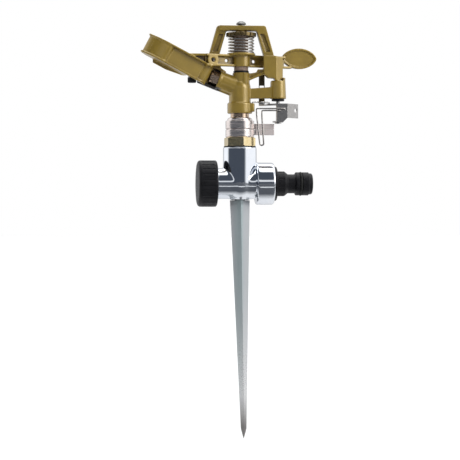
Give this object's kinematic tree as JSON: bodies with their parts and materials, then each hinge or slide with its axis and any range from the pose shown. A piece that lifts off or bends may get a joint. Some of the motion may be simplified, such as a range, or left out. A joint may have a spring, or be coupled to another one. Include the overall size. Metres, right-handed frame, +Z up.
{
  "type": "spike sprinkler",
  "caption": "Impact sprinkler head on a metal ground spike: sprung swinging arm, part-circle stops, quick-connect hose plug and a capped through-port",
  "frame": {"origin": "on the upright water axis at soil level, where the spike starts under the tee", "axes": "+Z up, +X towards the hose plug, the nozzle points to -X"},
  "size_m": [0.1347, 0.0351, 0.3114],
  "materials": {
    "bronze_paint": "satin bronze paint on a zinc casting",
    "polished_chrome": "polished chrome plating on a zinc casting",
    "zinc_spike": "dull plated zinc",
    "nickel": "nickel plating, slightly pink",
    "brass": "turned brass",
    "steel_wire": "plated spring steel",
    "black_plastic": "black moulded plastic",
    "black_rubber": "black rubber",
    "white_plastic": "white slip washer",
    "brown_plastic": "brown moulded plastic"
  },
  "bodies": {
    "base": {"spike": "zinc_spike", "tee": "polished_chrome", "hose_plug": "black_plastic", "plug_seal": "black_rubber", "plug_o_ring": "black_rubber", "hex_bushing": "brass", "bushing_gasket": "black_rubber", "bearing_sleeve": "nickel", "bearing_spring": "steel_wire"},
    "cap_seal": {"end_cap_washer": "black_rubber"},
    "cap": {"end_cap": "black_plastic"},
    "upper_stop": {"upper_stop_collar": "nickel"},
    "lower_stop": {"lower_stop_collar": "nickel"},
    "head": {"thrust_bush": "brass", "inlet_stem": "brass", "stem_seal": "black_rubber", "stem_washer": "white_plastic", "sprinkler_body": "bronze_paint", "nozzle": "brass", "pivot_pin": "steel_wire", "pivot_washer": "black_plastic", "spring_plate": "bronze_paint", "arm_spring": "steel_wire", "trip_pin": "steel_wire", "trip_washer": "black_plastic"},
    "jet_pin": {"jet_screw_pin": "steel_wire"},
    "jet_knob": {"jet_screw_knob": "black_plastic"},
    "arm": {"impact_arm": "bronze_paint", "arm_bush": "brown_plastic"},
    "trip": {"trip_lever": "steel_wire"},
    "snap": {"trip_snap_spring": "steel_wire"},
    "trip_hairpin": {"trip_wire": "steel_wire"}
  },
  "joints": [
    {"name": "head_turn", "type": "hinge", "parent": "base", "child": "head", "pos_m": [0, 0, 0.0665], "axis": [0, 0, 1], "range_deg": [-316, 15]},
    {"name": "arm_swing", "type": "hinge", "parent": "head", "child": "arm", "pos_m": [0.001, 0, 0.1053], "axis": [0, 0, 1], "range_deg": [0, 90], "stiffness_Nm_per_rad": 0.004, "springref_deg": -28.65, "deforming": ["arm_spring"]},
    {"name": "upper_stop_turn", "type": "hinge", "parent": "base", "child": "upper_stop", "pos_m": [0, 0, 0.0575], "axis": [0, 0, 1], "range_deg": [0, 150]},
    {"name": "lower_stop_turn", "type": "hinge", "parent": "base", "child": "lower_stop", "pos_m": [0, 0, 0.0515], "axis": [0, 0, 1], "range_deg": [0, 150]},
    {"name": "trip_lever_turn", "type": "hinge", "parent": "head", "child": "trip", "pos_m": [0.0287, 0, 0.0735], "axis": [0, 0, 1], "range_deg": [0, 25]},
    {"name": "snap_spring_turn", "type": "hinge", "parent": "head", "child": "snap", "pos_m": [0.0088, -0.005, 0.0748], "axis": [0, 0, 1], "range_deg": [-11.8, 0]},
    {"name": "trip_wire_flip", "type": "hinge", "parent": "trip", "child": "trip_hairpin", "pos_m": [0.0332, -0.0076, 0.0701], "axis": [0, -1, 0], "range_deg": [0, 175]},
    {"name": "jet_screw_travel", "type": "slide", "parent": "head", "child": "jet_pin", "axis": [0, 0, -1], "range_m": [0, 0.003]},
    {"name": "jet_screw_turn", "type": "hinge", "parent": "jet_pin", "child": "jet_knob", "pos_m": [-0.0358, 0, 0.0914], "axis": [0, 0, -1], "range_deg": [0, 1543]},
    {"name": "end_cap_travel", "type": "slide", "parent": "base", "child": "cap_seal", "axis": [-1, 0, 0], "range_m": [0, 0.008]},
    {"name": "end_cap_turn", "type": "hinge", "parent": "cap_seal", "child": "cap", "pos_m": [-0.026, 0, 0.0144], "axis": [-1, 0, 0], "range_deg": [0, 1580]}
  ],
  "couplings": [
    {"joint": "snap_spring_turn", "follows": "trip_lever_turn", "ratio": -0.4535},
    {"joint": "jet_screw_turn", "follows": "jet_screw_travel", "rad_per_m": 8976},
    {"joint": "end_cap_travel", "follows": "end_cap_turn", "m_per_rad": 0.00028871}
  ]
}
